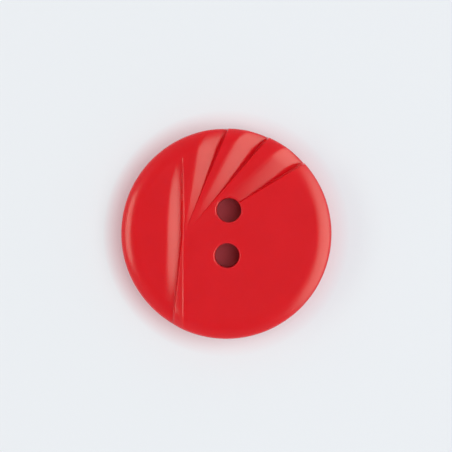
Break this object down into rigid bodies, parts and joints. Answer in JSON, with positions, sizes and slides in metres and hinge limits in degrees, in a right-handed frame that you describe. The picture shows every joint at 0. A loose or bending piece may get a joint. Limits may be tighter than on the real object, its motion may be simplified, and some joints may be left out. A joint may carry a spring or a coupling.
{
  "type": "sewing button",
  "caption": "Round sew-through button with thread holes and a carved face: a fan of V-shaped folds beside an upright fold with a rolled edge. Glossy red polyester, flat back.",
  "frame": {"origin": "middle of the button's flat back", "axes": "+Z out of the face, +Y towards the side where the fan of folds opens"},
  "size_m": [0.02, 0.02, 0.004],
  "materials": {
    "red_polyester": "polished, opaque, dyed through"
  },
  "bodies": {
    "root": {"button": "red_polyester"}
  },
  "joints": []
}
